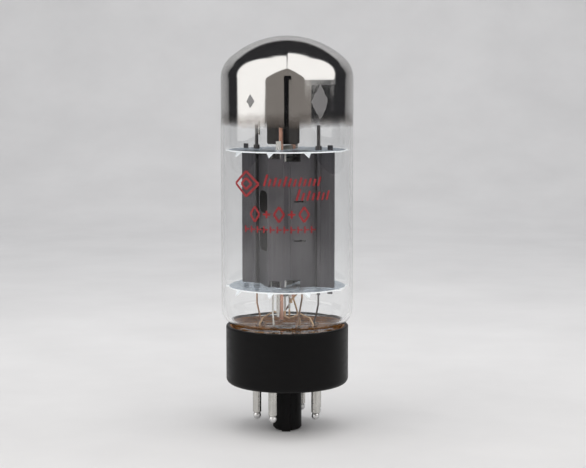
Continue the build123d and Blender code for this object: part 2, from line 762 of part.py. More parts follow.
# ================================================================ cathode and heater
with BuildPart() as cathode_sleeve:
    with BuildSketch(on(CAGE, Plane.XY.offset(CATHODE_BOTTOM))):
        SlotOverall(CATHODE_LONG, CATHODE_SHORT, rotation=90)
        SlotOverall(
            CATHODE_LONG - 2 * CATHODE_WALL,
            CATHODE_SHORT - 2 * CATHODE_WALL,
            rotation=90,
            mode=Mode.SUBTRACT,
        )
    extrude(amount=CATHODE_TOP - CATHODE_BOTTOM)
cathode_sleeve.part.label = "cathode_sleeve"
export_step(cathode_sleeve.part, "parts/cathode_sleeve.step")

with BuildPart() as cathode_tab:
    with BuildSketch(on(CAGE, Plane.XY.offset(CATHODE_BOTTOM - CATHODE_TAB_DROP))):
        with Locations((CATHODE_SHORT / 2 + CATHODE_TAB_SHEET / 2, 0)):
            Rectangle(CATHODE_TAB_SHEET, CATHODE_TAB_WIDTH)
    extrude(amount=CATHODE_TAB_DROP + CATHODE_TAB_OVERLAP)
cathode_tab.part.label = "cathode_tab"
export_step(cathode_tab.part, "parts/cathode_tab.step")

# One wire folded into four legs inside the sleeve.
heater = bent_wires(
    HEATER_RADIUS,
    HEATER_BEND,
    [
        in_cage(0, -HEATER_LEG, HEATER_FEET),
        in_cage(0, -HEATER_LEG, HEATER_TOP),
        in_cage(0, -HEATER_INNER_LEG, HEATER_TOP),
        in_cage(0, -HEATER_INNER_LEG, HEATER_LOOP),
        in_cage(0, HEATER_INNER_LEG, HEATER_LOOP),
        in_cage(0, HEATER_INNER_LEG, HEATER_TOP),
        in_cage(0, HEATER_LEG, HEATER_TOP),
        in_cage(0, HEATER_LEG, HEATER_FEET),
    ],
)
heater.part.label = "heater"
export_step(heater.part, "parts/heater.step")


# ================================================================ getter
with BuildPart() as getter_ring:
    ring_place = in_cage(GETTER_SHIFT, 0, GETTER_BOTTOM)
    with BuildSketch(Plane(origin=ring_place, x_dir=(1, 0, 0), z_dir=(0, -1, 0))):
        Polygon(
            (GETTER_INNER, 0),
            (GETTER_OUTER, 0),
            (GETTER_OUTER, GETTER_HEIGHT),
            (GETTER_OUTER - GETTER_SHEET, GETTER_HEIGHT),
            (GETTER_OUTER - GETTER_SHEET, GETTER_SHEET),
            (GETTER_INNER + GETTER_SHEET, GETTER_SHEET),
            (GETTER_INNER + GETTER_SHEET, GETTER_HEIGHT),
            (GETTER_INNER, GETTER_HEIGHT),
            align=None,
        )
    revolve(axis=Axis(ring_place, (0, 0, 1)))
getter_ring.part.label = "getter_ring"
export_step(getter_ring.part, "parts/getter_ring.step")

GETTER_WIRE_FOOT = POST_REACH - POST_RADIUS - GETTER_WIRE
GETTER_WIRE_HEIGHT = GETTER_BOTTOM + GETTER_HEIGHT / 2
getter_support_wire = bent_wires(
    GETTER_WIRE,
    GETTER_WIRE_BEND,
    [
        in_cage(-GETTER_WIRE_FOOT, 0, POST_TOP - GETTER_WIRE_LAP),
        in_cage(-GETTER_WIRE_FOOT, 0, POST_TOP + GETTER_WIRE_RISE),
        in_cage(GETTER_WIRE_CROWN, 0, GETTER_WIRE_HEIGHT),
        in_cage(GETTER_SHIFT - GETTER_OUTER - FIT, 0, GETTER_WIRE_HEIGHT),
    ],
)
getter_support_wire.part.label = "getter_support_wire"
export_step(getter_support_wire.part, "parts/getter_support_wire.step")


# ================================================================ wires through the stem
def lead_root(number):
    """The run of a lead from its pin's solder up to just above the stem."""
    angle = place_angle(number)
    return [
        polar(PIN_CIRCLE, angle, LEAD_FOOT),
        polar(PIN_CIRCLE, angle, LEAD_LOWER_BEND),
        polar(STEM_CIRCLE, angle, LEAD_UPPER_BEND),
        polar(STEM_CIRCLE, angle, LEAD_CLEAR),
    ]


def stub_root(place):
    """The run of a support wire that starts inside the glass, with no pin."""
    angle = place_angle(place)
    return [polar(STEM_CIRCLE, angle, NECK_BOTTOM), polar(STEM_CIRCLE, angle, LEAD_CLEAR)]


STRAP_FACE = BEAM_FACE + 2 * BEAM_SHEET + LEAD_RADIUS
STRAP_FLANK = STRAP_SIDE + BEAM_SHEET + LEAD_RADIUS
STRAP_INSIDE = STRAP_SIDE - LEAD_RADIUS
CATHODE_SIDE = CATHODE_SHORT / 2 + CATHODE_TAB_SHEET + LEAD_RADIUS
CONTROL_SIDE = CONTROL_ROD_RADIUS + LEAD_RADIUS
SCREEN_SIDE = SCREEN_ROD_RADIUS + LEAD_RADIUS

heater_lead_front = bent_wires(
    LEAD_RADIUS,
    HEATER_LEAD_BEND,
    lead_root(2)
    + [
        in_cage(*HEATER_FRONT_SHOULDER),
        in_cage(*HEATER_FRONT_PEAK),
        in_cage(*HEATER_FRONT_DIP),
        in_cage(0, -HEATER_LEG, HEATER_LEAD_RISE),
        in_cage(0, -HEATER_LEG, HEATER_FEET),
    ],
)
heater_lead_front.part.label = "heater_lead_front"
export_step(heater_lead_front.part, "parts/heater_lead_front.step")

heater_lead_rear = bent_wires(
    LEAD_RADIUS,
    HEATER_LEAD_BEND,
    lead_root(7)
    + [
        in_cage(*HEATER_REAR_SHOULDER),
        in_cage(*HEATER_REAR_PEAK),
        in_cage(*HEATER_REAR_DIP),
        in_cage(0, HEATER_LEG, HEATER_LEAD_RISE),
        in_cage(0, HEATER_LEG, HEATER_FEET),
    ],
)
heater_lead_rear.part.label = "heater_lead_rear"
export_step(heater_lead_rear.part, "parts/heater_lead_rear.step")

anode_lead = bent_wires(
    LEAD_RADIUS,
    LEAD_BEND,
    lead_root(3)
    + [
        in_cage(POST_REACH, 0, RIGHT_POST_TURN),
        in_cage(POST_REACH, 0, POST_BOTTOM),
    ],
)
anode_lead.part.label = "anode_lead"
export_step(anode_lead.part, "parts/anode_lead.step")

screen_grid_lead = bent_wires(
    LEAD_RADIUS,
    LEAD_BEND,
    lead_root(4)
    + [
        in_cage(-SCREEN_SIDE, SCREEN_ROD_REACH, SCREEN_LEAD_TURN),
        in_cage(-SCREEN_SIDE, SCREEN_ROD_REACH, WELD_TOP),
    ],
)
screen_grid_lead.part.label = "screen_grid_lead"
export_step(screen_grid_lead.part, "parts/screen_grid_lead.step")

control_grid_lead = bent_wires(
    LEAD_RADIUS,
    LEAD_BEND,
    lead_root(5)
    + [
        in_cage(-CONTROL_SIDE, CONTROL_ROD_REACH, CONTROL_LEAD_TURN),
        in_cage(-CONTROL_SIDE, CONTROL_ROD_REACH, CONTROL_LEAD_TOP),
    ],
)
control_grid_lead.part.label = "control_grid_lead"
export_step(control_grid_lead.part, "parts/control_grid_lead.step")

beam_plate_lead = bent_wires(
    LEAD_RADIUS,
    LEAD_BEND,
    lead_root(8)
    + [
        in_cage(BEAM_LEAD_PLACE, -STRAP_FACE, BEAM_LEAD_TURN),
        in_cage(BEAM_LEAD_PLACE, -STRAP_FACE, WELD_TOP),
    ],
)
beam_plate_lead.part.label = "beam_plate_lead"
export_step(beam_plate_lead.part, "parts/beam_plate_lead.step")

# The cathode shares the beam plates' pin: a short wire joins its tab to the strap.
cathode_lead = bent_wires(
    LEAD_RADIUS,
    LEAD_BEND,
    [
        in_cage(CATHODE_SIDE, CATHODE_LEAD_PLACE, CATHODE_LEAD_FOOT),
        in_cage(CATHODE_SIDE, CATHODE_LEAD_PLACE, CATHODE_LEAD_TURN),
        in_cage(STRAP_INSIDE, CATHODE_LEAD_PLACE, CATHODE_LEAD_CLEAR),
        in_cage(STRAP_INSIDE, CATHODE_LEAD_PLACE, WELD_TOP),
    ],
)
cathode_lead.part.label = "cathode_lead"
export_step(cathode_lead.part, "parts/cathode_lead.step")

# Two wires that only carry the cage: one to the left post, one to the strap.
stem_support_wires = bent_wires(
    LEAD_RADIUS,
    LEAD_BEND,
    stub_root(6)
    + [
        in_cage(-POST_REACH, 0, LEFT_POST_TURN),
        in_cage(-POST_REACH, 0, POST_BOTTOM),
    ],
    stub_root(1)
    + [
        in_cage(STRAP_FLANK, STRAP_STUB_PLACE, STRAP_STUB_TURN),
        in_cage(STRAP_FLANK, STRAP_STUB_PLACE, WELD_TOP),
    ],
)
stem_support_wires.part.label = "stem_support_wires"
export_step(stem_support_wires.part, "parts/stem_support_wires.step")
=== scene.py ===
import json
from math import acos, atan2, cos, degrees, pi, radians, sin

import bmesh
import bpy
from mathutils import Euler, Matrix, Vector


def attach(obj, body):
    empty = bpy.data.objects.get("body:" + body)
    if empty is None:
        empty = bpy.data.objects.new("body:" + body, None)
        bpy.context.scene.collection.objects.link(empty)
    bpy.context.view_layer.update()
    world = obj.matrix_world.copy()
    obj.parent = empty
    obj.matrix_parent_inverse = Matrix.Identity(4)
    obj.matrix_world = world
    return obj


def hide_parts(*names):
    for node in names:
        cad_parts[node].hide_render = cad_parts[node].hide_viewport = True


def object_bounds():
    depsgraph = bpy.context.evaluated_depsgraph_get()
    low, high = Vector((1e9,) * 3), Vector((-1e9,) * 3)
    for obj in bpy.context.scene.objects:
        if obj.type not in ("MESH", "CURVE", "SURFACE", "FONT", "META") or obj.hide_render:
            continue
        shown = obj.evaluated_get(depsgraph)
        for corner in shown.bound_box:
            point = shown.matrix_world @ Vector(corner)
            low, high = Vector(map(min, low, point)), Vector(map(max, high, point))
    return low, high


# The looks of a vacuum tube in a small photo studio. The CAD frame is kept: +Z up, and -Y
# towards the base's key. Blender works in metres, but the tube's own dimensions below are in
# millimetres, and meshes and material patterns are scaled by MM.

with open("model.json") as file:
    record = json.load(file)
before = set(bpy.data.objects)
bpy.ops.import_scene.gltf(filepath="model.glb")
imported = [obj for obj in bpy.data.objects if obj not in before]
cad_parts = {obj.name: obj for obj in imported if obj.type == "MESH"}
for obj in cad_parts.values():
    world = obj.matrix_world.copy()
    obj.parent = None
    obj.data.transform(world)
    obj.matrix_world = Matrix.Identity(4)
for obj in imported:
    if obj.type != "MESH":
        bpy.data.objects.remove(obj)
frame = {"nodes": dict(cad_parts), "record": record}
cad_low, cad_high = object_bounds()

MM = 0.001

# ---------------------------------------------------------------- tube dimensions (mm)
BULB_RADIUS = 18.0
BULB_WALL = 0.9
BULB_TOP = 94.0
SHOULDER_RADIUS = 7.5
SHOULDER_HEIGHT = 82.5
HEEL_RADIUS = 5.0
HEEL_HEIGHT = 20.0
NECK_RADIUS = 15.3
NECK_BOTTOM = 11.2
LATHE_STEPS = 256
CAGE_TURN = -22.5  # degrees from +X to the anode's wings

# ---------------------------------------------------------------- getter film (mm)
FILM_INSET = 0.82  # the film's outer face lies in the glass, so it's seen as if it touched it
FILM_THICKNESS = 0.05
FILM_BOTTOM = 69.0
FILM_FADE = (69.6, 73.8)  # heights of bare glass and of a full mirror
# Gaps in the film, painted matt grey as shade: degrees to the right of the view's centre, height,
# half width, half height.
FILM_PATCHES = ((30.0, 76.4, 2.6, 4.6), (-33.2, 76.6, 1.3, 1.9))

# ---------------------------------------------------------------- finishes and painted shade in the cage
CAGE_SHADE_HEIGHTS = (25.0, 63.6)  # heights (mm) between which the rods get painted shade, for the dim inside of the cage
PLATE_SHADE_HEIGHTS = (25.6, 63.4)  # the same for the beam plates
PLATE_SHADE_REACH = (1.1, 1.5)  # from a plate's middle: full painted shade, and none (mm)
# the near-black tone of the painted shade inside the cage
PAINTED_SHADE_TONE = (0.03, 0.028, 0.028)
NICKEL_DARK = (0.50, 0.48, 0.45)
NICKEL_LIGHT = (0.84, 0.82, 0.78)
NICKEL_ROUGHNESS = 0.24

# ---------------------------------------------------------------- printed mark (mm)
PRINT_INNER = 18.02
PRINT_OUTER = 18.05
# A place is (degrees to the right of the view's centre, height).
EMBLEM_PLACE = (-36.3, 55.0)
EMBLEM_LOZENGES = ((3.8, 3.3), (1.7, 1.5))  # half widths and half heights
EMBLEM_LINE = 0.62
BAR_LEAN = 0.32
BAR_LINE = 0.56
# Rows of bars: first and last angle, the height of the row's foot, and how far each bar rises.
BAR_ROWS = (
    (-19.6, 31.0, 54.5, (3.1, 1.9, 2.3, 1.9, 2.6, 2.1, 1.9, 2.3, 1.9, 2.1, 1.9, 2.4)),
    (8.0, 39.9, 50.8, (3.0, 2.0, 2.5, 1.9, 2.2, 1.9, 2.4)),
)
TYPE_START = (-27.8, 47.1)
TYPE_PITCH = 10.6
TYPE_COUNT = 5
TYPE_LOZENGE = (1.35, 2.0)  # half width and half height
TYPE_CROSS = 1.0  # half the length of a cross's arms
TYPE_LINE = 0.52
TYPE_THIN_LINE = 0.5
RULE_START = (-37.0, 43.1)
RULE_PITCH = 5.8
RULE_COUNT = 11
RULE_TICK = 0.9  # half the height of a tick
RULE_DASH = 1.2
RULE_LINE = 0.4
RULE_THIN_LINE = 0.34

# ---------------------------------------------------------------- camera (metres and degrees)
VIEW_ANGLE = -85.9  # the camera's direction from the tube, from +X
CAMERA_DISTANCE = 0.401
CAMERA_HEIGHT = 0.083
CAMERA_SHIFT = 0.0016
CAMERA_PITCH = -6.1
CAMERA_LENS = 90.5  # millimetres
CAMERA_SENSOR = 36  # millimetres

# ---------------------------------------------------------------- studio (metres)
FLOOR_HEIGHT = cad_low.z
FLOOR_FRONT = 1.6
WALL_PLACE = -0.85
WALL_HEIGHT = 0.75
WALL_BEND = 0.35
WALL_HALF_WIDTH = 1.1

# The softboxes' corners are (toward the camera, right, above the camera's height).
SOFTBOX_FRONT = 0.55
RIDGE_GAP = 0.004  # from the middle to each softbox's upper edge
LEFT_SOFTBOX = (
    (SOFTBOX_FRONT, -0.45, -0.036),
    (-0.04, -0.45, -0.036),
    (-0.09, -RIDGE_GAP, 0.52),
    (SOFTBOX_FRONT, -RIDGE_GAP, 0.52),
)
RIGHT_SOFTBOX = (
    (SOFTBOX_FRONT, 0.33, -0.002),
    (0.0, 0.46, -0.002),
    (-0.15, RIDGE_GAP, 0.53),
    (SOFTBOX_FRONT, RIDGE_GAP, 0.53),
)

# Upright cards: their distance toward the camera, then the height above the camera's height,
# left end and right end of their foot and of their head.
ROOM_CARD = (1.5, (-0.4, -1.4, 1.4), (1.5, -1.4, 1.4))
CAMERA_BODY_CARD = (0.5, (0.0, -0.05, 0.07), (0.10, -0.04, 0.06))
CAMERA_STAND_CARD = (0.5, (-0.09, -0.04, 0.02), (0.0, -0.045, 0.03))

WASH_WIDTH = 1.6
WASH_DEPTH = 0.5
WASH_POWER = 7.0  # watts
WASH_PLACE = (-0.25, 0.0, 0.9)  # toward the camera, right, height
WASH_TILT = 36.0  # degrees


# ================================================================ node helpers
class Shader:
    """A node material under construction, measured in millimetres of the tube's frame."""

    def __init__(self, name):
        self.material = bpy.data.materials.new(name)
        self.material.use_nodes = True
        self.tree = self.material.node_tree
        self.surface = self.tree.nodes["Principled BSDF"]
        self.output = self.tree.nodes["Material Output"]
        point = self.add("ShaderNodeVectorMath", operation="SCALE")
        self.join(self.add("ShaderNodeTexCoord").outputs["Object"], point.inputs[0])
        point.inputs["Scale"].default_value = 1 / MM
        self.place = point.outputs[0]

    def add(self, kind, **settings):
        """A new node of a kind, with its settings."""
        node = self.tree.nodes.new(kind)
        for key, value in settings.items():
            setattr(node, key, value)
        return node

    def join(self, source, target):
        """Connects an output to an input."""
        self.tree.links.new(source, target)

    def feed(self, target, value):
        """Connects a socket, or sets a plain number or colour."""
        if isinstance(value, bpy.types.NodeSocket):
            self.join(value, target)
        else:
            target.default_value = value

    def math(self, operation, first, second=0.0):
        """Works out one operation on one or two values."""
        node = self.add("ShaderNodeMath", operation=operation)
        self.feed(node.inputs[0], first)
        self.feed(node.inputs[1], second)
        return node.outputs[0]

    def stretched(self, scale):
        """The place vector, scaled per axis."""
        node = self.add("ShaderNodeVectorMath", operation="MULTIPLY")
        self.join(self.place, node.inputs[0])
        node.inputs[1].default_value = scale
        return node.outputs[0]

    def noise(self, scale, detail=4.0, roughness=0.55):
        """Soft clouds; scale is in cycles per millimetre along each axis."""
        node = self.add("ShaderNodeTexNoise")
        self.join(self.stretched(scale), node.inputs["Vector"])
        node.inputs["Scale"].default_value = 1.0
        node.inputs["Detail"].default_value = detail
        node.inputs["Roughness"].default_value = roughness
        return node.outputs["Fac"]

    def speckle(self, scale):
        """Small cells; scale is in cells per millimetre along each axis."""
        node = self.add("ShaderNodeTexVoronoi")
        self.join(self.stretched(scale), node.inputs["Vector"])
        node.inputs["Scale"].default_value = 1.0
        return node.outputs["Distance"]

    def levels(self, value, low, high, out_low=0.0, out_high=1.0):
        """Maps a range of a value onto another range, and clamps it."""
        node = self.add("ShaderNodeMapRange")
        self.feed(node.inputs["Value"], value)
        node.inputs["From Min"].default_value = low
        node.inputs["From Max"].default_value = high
        node.inputs["To Min"].default_value = out_low
        node.inputs["To Max"].default_value = out_high
        return node.outputs["Result"]

    def mix(self, factor, first, second):
        """Blends two colours, by the colour sockets of the mix node."""
        node = self.add("ShaderNodeMix", data_type="RGBA")
        self.feed(node.inputs["Factor"], factor)
        self.feed(node.inputs[6], colour(first))
        self.feed(node.inputs[7], colour(second))
        return node.outputs[2]

    def coordinates(self):
        """The place's X, Y and Z."""
        node = self.add("ShaderNodeSeparateXYZ")
        self.join(self.place, node.inputs[0])
        return node.outputs

    def set(self, **values):
        """Sets inputs of the principled surface; underscores in names stand for spaces."""
        for key, value in values.items():
            self.feed(self.surface.inputs[key.replace("_", " ")], value)

    def bump(self, height, depth, strength=1.0):
        """Relief on the principled surface; depth in millimetres."""
        node = self.add("ShaderNodeBump")
        self.join(height, node.inputs["Height"])
        node.inputs["Strength"].default_value = strength
        node.inputs["Distance"].default_value = depth * MM
        self.join(node.outputs["Normal"], self.surface.inputs["Normal"])

    def see_through(self, amount, tint=(1, 1, 1)):
        """Mixes plain transparency over the surface, by amount."""
        clear = self.add("ShaderNodeBsdfTransparent")
        clear.inputs["Color"].default_value = colour(tint)
        blend = self.add("ShaderNodeMixShader")
        self.feed(blend.inputs[0], amount)
        self.join(self.surface.outputs[0], blend.inputs[1])
        self.join(clear.outputs[0], blend.inputs[2])
        self.join(blend.outputs[0], self.output.inputs["Surface"])


def colour(value):
    """Gives a plain colour its fourth channel; anything else passes through."""
    if isinstance(value, tuple) and len(value) == 3:
        return (*value, 1.0)
    return value


# ================================================================ materials
def clear_glass(name, tint, wave):
    """Clear glass that lets lamp light through as if it were not there."""
    s = Shader(name)
    smear = s.noise((0.12, 0.12, 0.05), detail=3)
    s.set(
        Base_Color=colour(tint),
        Transmission_Weight=1.0,
        IOR=1.5,
        Roughness=s.levels(smear, 0.45, 0.75, 0.0, 0.012),
    )
    s.bump(s.noise((0.05, 0.05, 0.02), detail=1), wave)
    path = s.add("ShaderNodeLightPath")
    passing = s.math("MAXIMUM", path.outputs["Is Shadow Ray"], path.outputs["Is Diffuse Ray"])
    s.see_through(passing, (0.96, 0.965, 0.96))
    return s.material


def getter_mirror(name):
    """Evaporated metal: a bright film that thins out to nothing toward its lower edge."""
    s = Shader(name)
    x, y, z = s.coordinates()
    drift = s.noise((0.16, 0.16, 0.1), detail=3)
    edge = s.math("ADD", z, s.levels(drift, 0.3, 0.7, -0.6, 0.6))
    film = s.math("POWER", s.levels(edge, *FILM_FADE), 0.8)

    # Two four-sided gaps in the film at the sides of the dome, painted matt grey as the painted
    # shade of the dim inside seen through them.
    turn = s.math("ARCTAN2", y, x)
    bare = 0.0
    for patch_angle, patch_height, half_width, half_height in FILM_PATCHES:
        across = s.math("SUBTRACT", turn, radians(VIEW_ANGLE + patch_angle))
        across = s.math("ABSOLUTE", s.math("MULTIPLY", across, BULB_RADIUS / half_width))
        along = s.math("ABSOLUTE", s.math("SUBTRACT", z, patch_height))
        along = s.math("DIVIDE", along, half_height)
        ragged = s.levels(s.noise((0.9, 0.9, 0.9)), 0.3, 0.7, -0.12, 0.12)
        reach = s.math("ADD", s.math("ADD", across, along), ragged)
        bare = s.math("MAXIMUM", bare, s.levels(reach, 0.96, 1.02, 1.0, 0.0))

    # Fine scratches run down the film.
    scratch = s.noise((2.2, 2.2, 0.12), detail=2)
    film = s.math("MULTIPLY", film, s.levels(scratch, 0.70, 0.74, 1.0, 0.7))

    haze = s.noise((0.35, 0.35, 0.2), detail=5)
    gloss = s.levels(haze, 0.35, 0.75, 0.03, 0.08)
    bright = s.mix(film, (0.32, 0.27, 0.24), (0.60, 0.59, 0.58))
    s.set(
        Base_Color=s.mix(bare, bright, (0.20, 0.195, 0.20)),
        Metallic=s.math("SUBTRACT", 1.0, bare),
        Roughness=s.math("ADD", gloss, s.math("MULTIPLY", bare, 0.5)),
    )
    s.see_through(s.math("SUBTRACT", 1.0, film))
    return s.material


def moulding(name):
    """Black moulded plastic: satin, with fine pits and faint turning marks."""
    s = Shader(name)
    pits = s.speckle((3.0, 3.0, 3.0))
    flow = s.noise((0.25, 0.25, 0.9), detail=6)
    s.set(
        Base_Color=s.mix(flow, (0.004, 0.004, 0.0045), (0.008, 0.0075, 0.0075)),
        Roughness=s.levels(flow, 0.3, 0.7, 0.32, 0.45),
        Specular_IOR_Level=0.09,
    )
    s.bump(s.math("ADD", pits, s.noise((0.4, 0.4, 7.0), detail=2)), 0.012, 0.35)
    return s.material


def cement_filler(name):
    """Amber-brown basing cement with grains, near black in the middle as painted shade of the
    dark bore under the stem.
    """
    s = Shader(name)
    grain = s.noise((1.1, 1.1, 1.1), detail=8, roughness=0.7)
    patch = s.noise((0.22, 0.22, 0.22), detail=3)
    x, y, _ = s.coordinates()
    spread = s.math("SQRT", s.math("ADD", s.math("MULTIPLY", x, x), s.math("MULTIPLY", y, y)))
    warm = s.mix(s.levels(patch, 0.35, 0.65), (0.14, 0.042, 0.003), (0.38, 0.13, 0.012))
    warm = s.mix(s.levels(grain, 0.45, 0.62), warm, (0.48, 0.20, 0.03))
    s.set(
        # Painted shade: near black close to the axis, where the bore under the stem lies dark.
        Base_Color=s.mix(s.levels(spread, 3.4, 5.4), (0.006, 0.005, 0.004), warm),
        Roughness=0.5,
    )
    s.bump(grain, 0.12, 0.6)
    return s.material


def drawn_metal(
    name, dark, light, roughness, grain=(4.0, 4.0, 0.2), shade_heights=None, metallic=1.0
):
    """Metal with streaks along its length and a little tarnish; the optional height range gets
    painted shade, for the dim inside of the cage.
    """
    s = Shader(name)
    streak = s.noise(grain, detail=4, roughness=0.6)
    tarnish = s.noise((0.45, 0.45, 0.3), detail=5)
    streaked = s.levels(streak, 0.35, 0.65, 0.0, 0.6)
    tarnished = s.levels(tarnish, 0.4, 0.7, 0.0, 0.4)
    shade = s.mix(s.math("ADD", streaked, tarnished), dark, light)
    # Painted shade: the metal goes near black between the heights, where little light reaches
    # inside the cage.
    if shade_heights:
        fade = 0.6
        bottom, top = shade_heights
        z = s.coordinates()["Z"]
        over_bottom = s.levels(z, bottom, bottom + fade)
        under_top = s.levels(z, top - fade, top, 1.0, 0.0)
        shade = s.mix(s.math("MULTIPLY", over_bottom, under_top), shade, PAINTED_SHADE_TONE)
    s.set(
        Base_Color=shade,
        Metallic=metallic,
        Roughness=s.levels(tarnish, 0.3, 0.7, roughness - 0.07, roughness + 0.1),
    )
    s.bump(streak, 0.01, 0.3)
    return s.material


def beam_sheet(name, dark, light):
    """Nickel sheet with bright edges, whose face inside the cage is darkened with painted shade.
    """
    s = Shader(name)
    streak = s.noise((4.0, 4.0, 0.2), detail=4, roughness=0.6)
    x, y, z = s.coordinates()
    along = s.math("MULTIPLY", x, cos(radians(CAGE_TURN)))
    along = s.math("ADD", along, s.math("MULTIPLY", y, sin(radians(CAGE_TURN))))
    fade = 0.1
    bottom, top = PLATE_SHADE_HEIGHTS
    # Painted shade: the plate's face inside the cage goes near black, between its bright edges.
    black = s.levels(s.math("ABSOLUTE", along), *PLATE_SHADE_REACH, 1.0, 0.0)
    black = s.math("MULTIPLY", black, s.levels(z, bottom - fade, bottom + fade))
    black = s.math("MULTIPLY", black, s.levels(z, top - fade, top + fade, 1.0, 0.0))
    s.set(
        Base_Color=s.mix(black, s.mix(streak, dark, light), PAINTED_SHADE_TONE),
        Metallic=1.0,
        Roughness=s.levels(streak, 0.3, 0.7, 0.2, 0.34),
    )
    s.bump(streak, 0.01, 0.3)
    return s.material


def coated_sheet(name):
    """Grey coated anode sheet: satin, with a faint purple cast and light streaks that are partly
    painted highlight; its inward faces get painted shade.
    """
    s = Shader(name)
    grain = s.noise((5.0, 5.0, 5.0), detail=3)
    cloud = s.noise((0.18, 0.18, 0.06), detail=4)
    streak = s.noise((2.4, 2.4, 0.03), detail=3)
    tone = s.mix(s.levels(cloud, 0.35, 0.65), (0.072, 0.069, 0.077), (0.115, 0.109, 0.119))
    # Light vertical streaks: partly the sheet's own grain, partly painted highlight.
    tone = s.mix(s.levels(streak, 0.5, 0.8, 0.0, 0.35), tone, (0.21, 0.205, 0.215))
    # Painted shade: faces turned in toward the cathode go near black and lose their metal sheen.
    outward = s.add("ShaderNodeVectorMath", operation="DOT_PRODUCT")
    s.join(s.stretched((1, 1, 0)), outward.inputs[0])
    s.join(s.add("ShaderNodeNewGeometry").outputs["True Normal"], outward.inputs[1])
    inside = s.levels(outward.outputs["Value"], -0.5, 0.0, 1.0, 0.0)
    s.set(
        Base_Color=s.mix(inside, tone, (0.008, 0.008, 0.008)),
        Metallic=s.levels(inside, 0.0, 1.0, 0.6, 0.0),
        Roughness=s.levels(grain, 0.3, 0.7, 0.36, 0.52),
    )
    s.bump(grain, 0.012, 0.4)
    return s.material


def mica_sheet(name):
    """Pale translucent mica with cleavage clouds; its cut edges are brightened with painted
    light, a whiter colour and a glow.
    """
    s = Shader(name)
    cloud = s.noise((0.3, 0.3, 0.3), detail=5)
    flake = s.speckle((0.8, 0.8, 6.0))
    normal = s.add("ShaderNodeSeparateXYZ")
    s.join(s.add("ShaderNodeNewGeometry").outputs["True Normal"], normal.inputs[0])
    flat = s.levels(s.math("ABSOLUTE", normal.outputs["Z"]), 0.6, 0.9)
    tone = s.mix(s.levels(cloud, 0.35, 0.65), (0.28, 0.34, 0.41), (0.44, 0.51, 0.58))
    s.set(
        Base_Color=s.mix(flat, (0.97, 0.98, 1.0), tone),
        Roughness=s.levels(flake, 0.1, 0.6, 0.16, 0.34),
        Specular_IOR_Level=0.6,
        # Painted light: the cut edges glow.
        Emission_Color=(0.85, 0.92, 1.0, 1.0),
        Emission_Strength=s.levels(flat, 0.0, 1.0, 0.22, 0.0),
    )
    s.bump(cloud, 0.05, 0.4)
    thin = s.levels(cloud, 0.3, 0.7, 0.62, 0.42)
    s.see_through(s.math("MULTIPLY", flat, thin), (0.90, 0.94, 0.98))
    return s.material


def chalk(name, shade, light):
    """Matt white coating with a chalky grain."""
    s = Shader(name)
    grain = s.noise((3.0, 3.0, 3.0), detail=6, roughness=0.7)
    s.set(Base_Color=s.mix(s.levels(grain, 0.35, 0.65), shade, light), Roughness=0.85)
    s.bump(grain, 0.03, 0.5)
    return s.material


def soot(name):
    """Carbonised sheet: dull black with a grey bloom."""
    s = Shader(name)
    bloom = s.noise((0.8, 0.8, 0.8), detail=6, roughness=0.65)
    shade = s.mix(s.levels(bloom, 0.4, 0.7), (0.010, 0.010, 0.010), (0.035, 0.033, 0.033))
    s.set(Base_Color=shade, Roughness=s.levels(bloom, 0.3, 0.7, 0.5, 0.7))
    s.bump(bloom, 0.03, 0.4)
    return s.material


def red_ink(name):
    """Screen-printed red ink with a slightly uneven cover."""
    s = Shader(name)
    cover = s.noise((2.6, 2.6, 2.6), detail=5, roughness=0.65)
    shade = s.mix(s.levels(cover, 0.35, 0.65), (0.22, 0.004, 0.008), (0.38, 0.012, 0.016))
    s.set(Base_Color=shade, Roughness=s.levels(cover, 0.3, 0.7, 0.38, 0.55))
    s.bump(cover, 0.01, 0.4)
    return s.material


# The finish of each material slot of the record.
MATERIALS = {
    "glass": clear_glass("bulb_glass", (0.985, 0.99, 0.99), 0.02),
    "stem_glass": clear_glass("stem_glass_clear", (0.96, 0.985, 0.97), 0.1),
    "getter_film": getter_mirror("getter_mirror"),
    "base_moulding": moulding("black_moulding"),
    "cement": cement_filler("amber_cement"),
    "pin_plating": drawn_metal(
        "pin_plate", (0.40, 0.39, 0.37), (0.70, 0.69, 0.66), 0.22, grain=(1.4, 1.4, 0.08)
    ),
    "solder": drawn_metal(
        "solder_tin", (0.60, 0.60, 0.60), (0.86, 0.86, 0.86), 0.26, grain=(1.5, 1.5, 1.5)
    ),
    "mica": mica_sheet("mica_pale"),
    "anode_coating": coated_sheet("anode_grey"),
    "nickel": drawn_metal("nickel_bright", NICKEL_DARK, NICKEL_LIGHT, NICKEL_ROUGHNESS),
    "dark_rod": drawn_metal("rod_dark", (0.10, 0.095, 0.095), (0.24, 0.23, 0.23), 0.38),
    # Painted shade darkens the copper rods inside the cage.
    "copper_rod": drawn_metal(
        "rod_copper_shaded", (0.62, 0.30, 0.20), (0.92, 0.56, 0.44), 0.30, shade_heights=CAGE_SHADE_HEIGHTS
    ),
    "grid_wire": drawn_metal("wire_fine", (0.03, 0.028, 0.026), (0.09, 0.083, 0.076), 0.45),
    "black_fin": soot("fin_black"),
    # The cathode's white oxide is toned down to grey as painted shade for the dim inside of the
    # cage.
    "oxide_coating": chalk("oxide_shaded_grey", (0.30, 0.30, 0.28), (0.50, 0.50, 0.47)),
    "heater_coating": chalk("alumina_white", (0.78, 0.76, 0.72), (0.96, 0.95, 0.93)),
}

# Single pieces whose finish differs from the rest of their slot.
GOLD_WIRE = drawn_metal(
    "wire_gold", (0.80, 0.47, 0.24), (1.0, 0.72, 0.44), 0.24, metallic=0.35
)
COPPER_WIRE = drawn_metal("wire_copper", (0.36, 0.20, 0.12), (0.62, 0.40, 0.28), 0.30)
